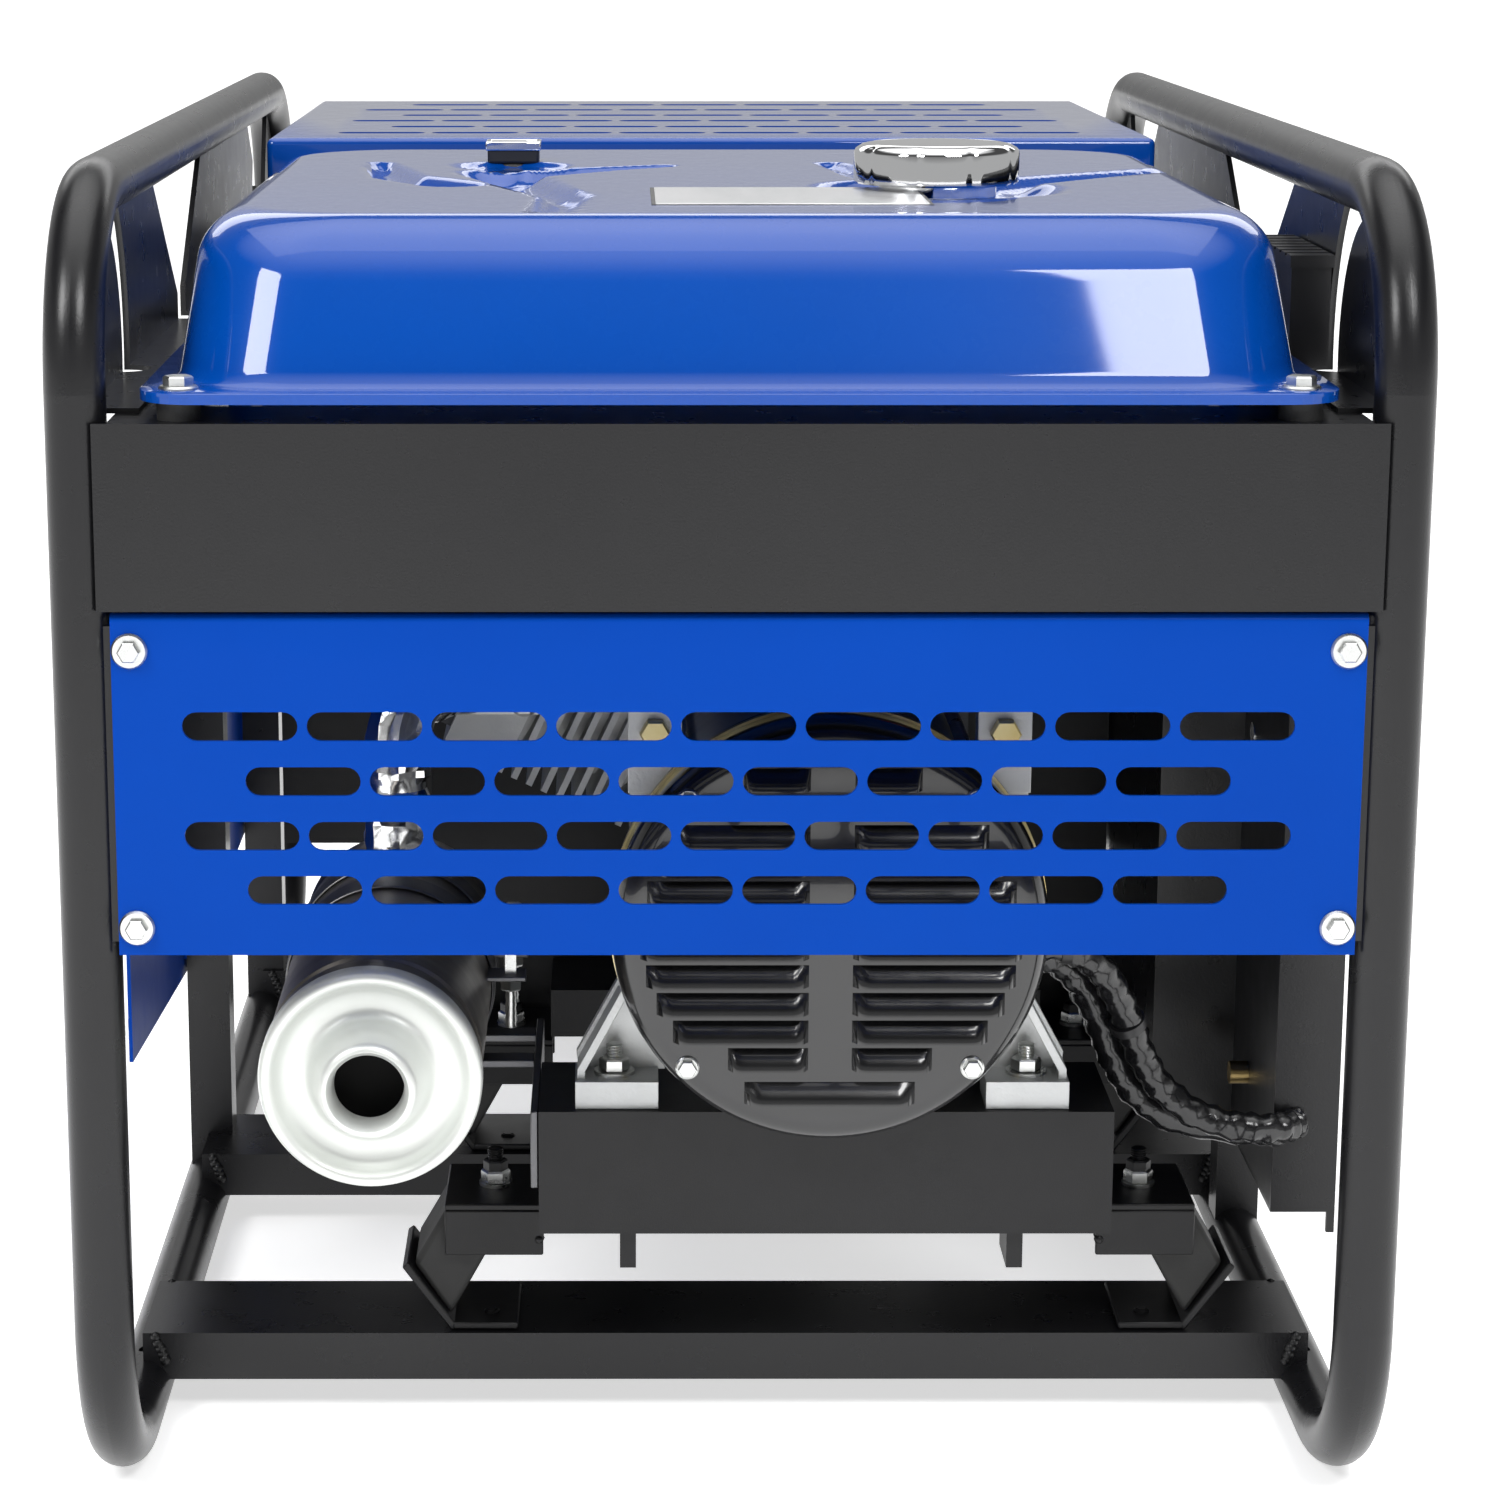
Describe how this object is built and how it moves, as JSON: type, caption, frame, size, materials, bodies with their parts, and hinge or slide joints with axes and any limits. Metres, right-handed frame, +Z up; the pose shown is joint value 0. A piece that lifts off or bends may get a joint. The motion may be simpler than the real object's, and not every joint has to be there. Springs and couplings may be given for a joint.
{
  "type": "engine driven welder",
  "caption": "Portable engine driven welder in a bent tube carry frame, with fuel tank, alternator, muffler, slotted guard panel and side control housing.",
  "frame": {"origin": "middle of the footprint, at the bottom of the frame tubes", "axes": "+Z up, +Y from the alternator and muffler end to the other end, +X to the control side"},
  "size_m": [0.624, 1.04, 0.642],
  "materials": {
    "frame_black": "satin powder coat",
    "body_blue": "gloss enamel",
    "zinc_fastener": "bright zinc",
    "rubber_black": "matt",
    "chrome_cap": "polished",
    "black_plastic": "semi gloss",
    "red_plastic": "semi gloss",
    "cast_aluminium": "as cast",
    "engine_casting": "engine enamel",
    "cover_gloss": "gloss enamel",
    "plain_steel": "machined",
    "muffler_steel": "aluminised",
    "brass": "turned"
  },
  "bodies": {
    "root": {"left_loop": "frame_black", "right_loop": "frame_black", "front_beam": "frame_black", "rear_beam": "frame_black", "side_rails": "frame_black", "side_braces": "frame_black", "base_channels": "frame_black", "uprights": "frame_black", "panel_brackets": "frame_black", "front_panel": "body_blue", "front_panel_bolts": "zinc_fastener", "left_side_panel": "body_blue", "mount_beams": "frame_black", "mount_feet": "frame_black", "rubber_isolators": "rubber_black", "mount_studs": "zinc_fastener", "tank_upper_shell": "body_blue", "tank_lower_shell": "body_blue", "tank_bolts": "zinc_fastener", "tank_grommets": "rubber_black", "fuel_gauge": "black_plastic", "filler_neck": "chrome_cap", "fuel_valve_body": "brass", "vapour_canister": "black_plastic", "welder_cover": "body_blue", "welder_pan": "frame_black", "reactor": "plain_steel", "rectifier": "cast_aluminium", "alternator_cover": "cover_gloss", "cover_bolts": "zinc_fastener", "end_bell": "cast_aluminium", "stator_barrel": "plain_steel", "stator_core": "plain_steel", "bearings": "plain_steel", "crankcase": "engine_casting", "engine_cylinder": "cast_aluminium", "valve_cover": "engine_casting", "air_cleaner": "black_plastic", "blower_housing": "engine_casting", "muffler_body": "muffler_steel", "muffler_end_cap": "muffler_steel", "muffler_clamps": "frame_black", "exhaust_pipe": "muffler_steel", "alternator_leads": "black_plastic", "battery": "black_plastic", "control_housing": "frame_black", "control_panel": "frame_black", "weld_studs": "brass"},
    "crank": {"rotor": "plain_steel", "crankshaft": "plain_steel", "flywheel": "plain_steel"},
    "cap_lift": {"cap_seal": "rubber_black"},
    "cap_turn": {"cap_shell": "chrome_cap"},
    "valve_lever": {"fuel_valve_lever": "red_plastic"},
    "outlet_lid": {"outlet_cover": "black_plastic"},
    "dial": {"current_dial": "black_plastic"},
    "key": {"start_key": "plain_steel"},
    "choke": {"choke_knob": "black_plastic"},
    "rocker": {"idle_rocker": "black_plastic"},
    "breaker": {"breaker_button": "red_plastic"}
  },
  "joints": [
    {"name": "crank_spin", "type": "hinge", "parent": "root", "child": "crank", "pos_m": [0.047, -0.1, 0.276], "axis": [0, 1, 0], "continuous": true},
    {"name": "cap_lift_slide", "type": "slide", "parent": "root", "child": "cap_lift", "axis": [0, 0, 1], "range_m": [0, 0.06]},
    {"name": "cap_turn_hinge", "type": "hinge", "parent": "cap_lift", "child": "cap_turn", "pos_m": [0.103, -0.3, 0.63], "axis": [0, 0, 1], "range_deg": [0, 90]},
    {"name": "valve_turn", "type": "hinge", "parent": "root", "child": "valve_lever", "pos_m": [0.15, -0.195, 0.462], "axis": [0, -1, 0], "range_deg": [0, 90]},
    {"name": "outlet_lid_hinge", "type": "hinge", "parent": "root", "child": "outlet_lid", "pos_m": [0.2885, 0.18, 0.248], "axis": [0, -1, 0], "range_deg": [0, 100]},
    {"name": "current_turn", "type": "hinge", "parent": "root", "child": "dial", "pos_m": [0.2815, -0.06, 0.33], "axis": [1, 0, 0], "range_deg": [-150, 150]},
    {"name": "key_turn", "type": "hinge", "parent": "root", "child": "key", "pos_m": [0.2815, -0.25, 0.33], "axis": [1, 0, 0], "range_deg": [0, 75]},
    {"name": "choke_pull", "type": "slide", "parent": "root", "child": "choke", "axis": [1, 0, 0], "range_m": [0, 0.02]},
    {"name": "idle_rock", "type": "hinge", "parent": "root", "child": "rocker", "pos_m": [0.2815, 0.08, 0.33], "axis": [0, 1, 0], "range_deg": [-9, 9]},
    {"name": "breaker_pop", "type": "slide", "parent": "root", "child": "breaker", "axis": [1, 0, 0], "range_m": [0, 0.003]}
  ]
}
